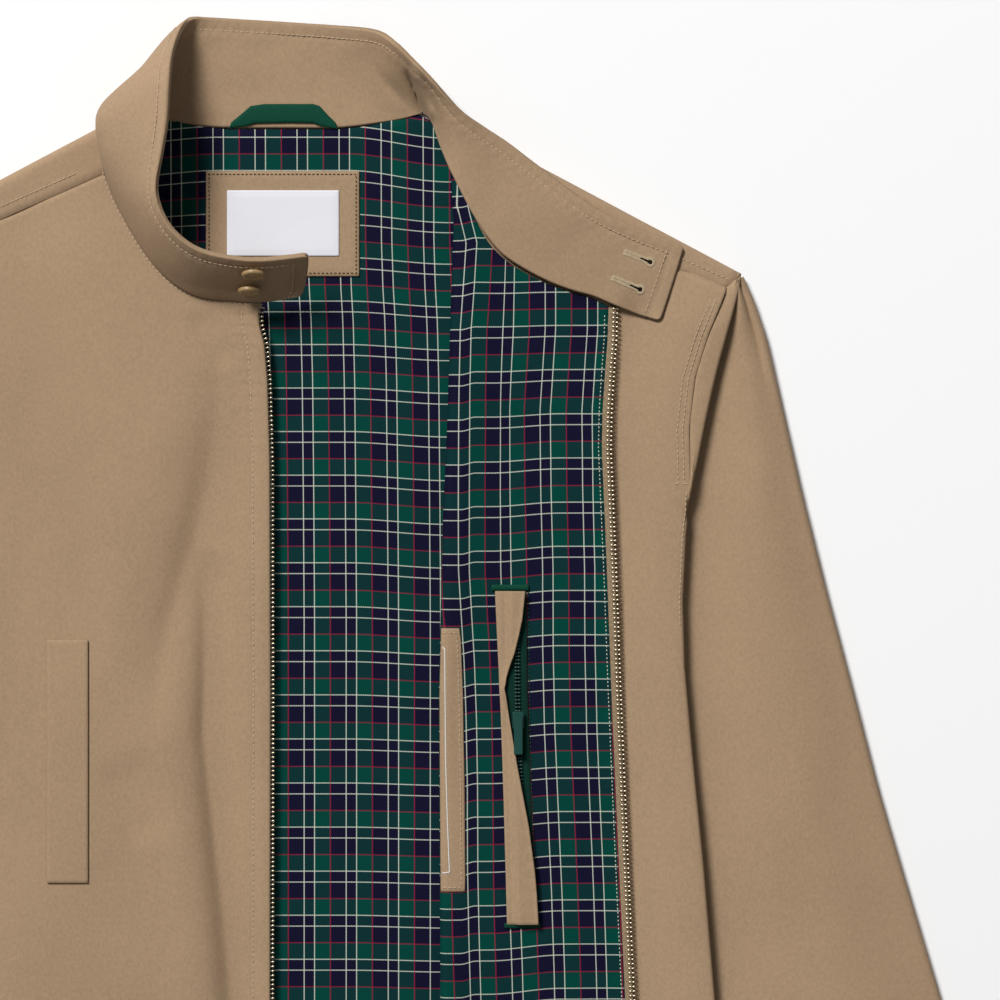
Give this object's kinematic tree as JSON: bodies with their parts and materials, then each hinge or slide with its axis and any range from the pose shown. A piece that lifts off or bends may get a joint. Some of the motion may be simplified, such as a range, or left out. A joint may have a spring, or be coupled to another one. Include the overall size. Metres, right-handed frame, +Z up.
{
  "type": "harrington jacket",
  "caption": "Tan cotton jacket with a stand collar, tartan lining, zip front and ribbed hem and cuffs, laid on its back with one front folded open.",
  "frame": {"origin": "middle of the bounding box at its bottom, on the surface the jacket lies on", "axes": "+X towards the wearer's left sleeve, +Y from the hem to the collar, +Z up out of the surface"},
  "size_m": [0.825, 0.7805, 0.0495],
  "materials": {
    "khaki_twill": "matte cotton twill",
    "tartan_cotton": "matte woven check in green, navy, cream and red",
    "khaki_rib": "matte ribbed knit",
    "green_tape": "woven tape with a soft sheen",
    "label_satin": "satin weave with a soft sheen",
    "zip_tape": "matte woven tape",
    "zip_metal": "brushed, lightly aged",
    "green_enamel": "glossy enamel",
    "button_horn": "polished horn-like plastic"
  },
  "bodies": {
    "jacket": {"back_lining": "tartan_cotton", "back_panel": "khaki_twill", "button_1": "button_horn", "button_2": "button_horn", "collar_facing": "khaki_twill", "collar_outer": "khaki_twill", "crown_left": "khaki_twill", "crown_right": "khaki_twill", "cuff_left": "khaki_rib", "cuff_right": "khaki_rib", "front_left": "khaki_twill", "front_left_lining": "tartan_cotton", "front_right": "khaki_twill", "hanger_loop": "green_tape", "hem_back": "khaki_rib", "hem_left": "khaki_rib", "hem_right": "khaki_rib", "label_patch": "khaki_twill", "neck_label": "label_satin", "pocket_backing": "khaki_twill", "pocket_guard_lower": "khaki_twill", "pocket_guard_upper": "khaki_twill", "pocket_piping_lower": "green_tape", "pocket_piping_upper": "green_tape", "pocket_slider": "green_enamel", "pocket_welt_right": "khaki_twill", "pocket_zip_chain": "zip_metal", "pocket_zip_tape": "green_tape", "sleeve_left": "khaki_twill", "sleeve_right": "khaki_twill", "zip_chain_left": "zip_metal", "zip_chain_right": "zip_metal", "zip_slider": "zip_metal", "zip_tape_left": "zip_tape", "zip_tape_right": "zip_tape"},
    "pocket_pull_tab": {"pocket_pull": "green_enamel"},
    "zip_pull_tab": {"zip_pull": "zip_metal"}
  },
  "joints": [
    {"name": "pocket_pull_hinge", "type": "hinge", "parent": "jacket", "child": "pocket_pull_tab", "pos_m": [0.12461, 0.0204, 0.01536], "axis": [-1, 0, 0], "range_deg": [0, 120]},
    {"name": "zip_pull_hinge", "type": "hinge", "parent": "jacket", "child": "zip_pull_tab", "pos_m": [-0.0021, -0.3188, 0.0097], "axis": [-1, 0, 0], "range_deg": [0, 120]}
  ]
}
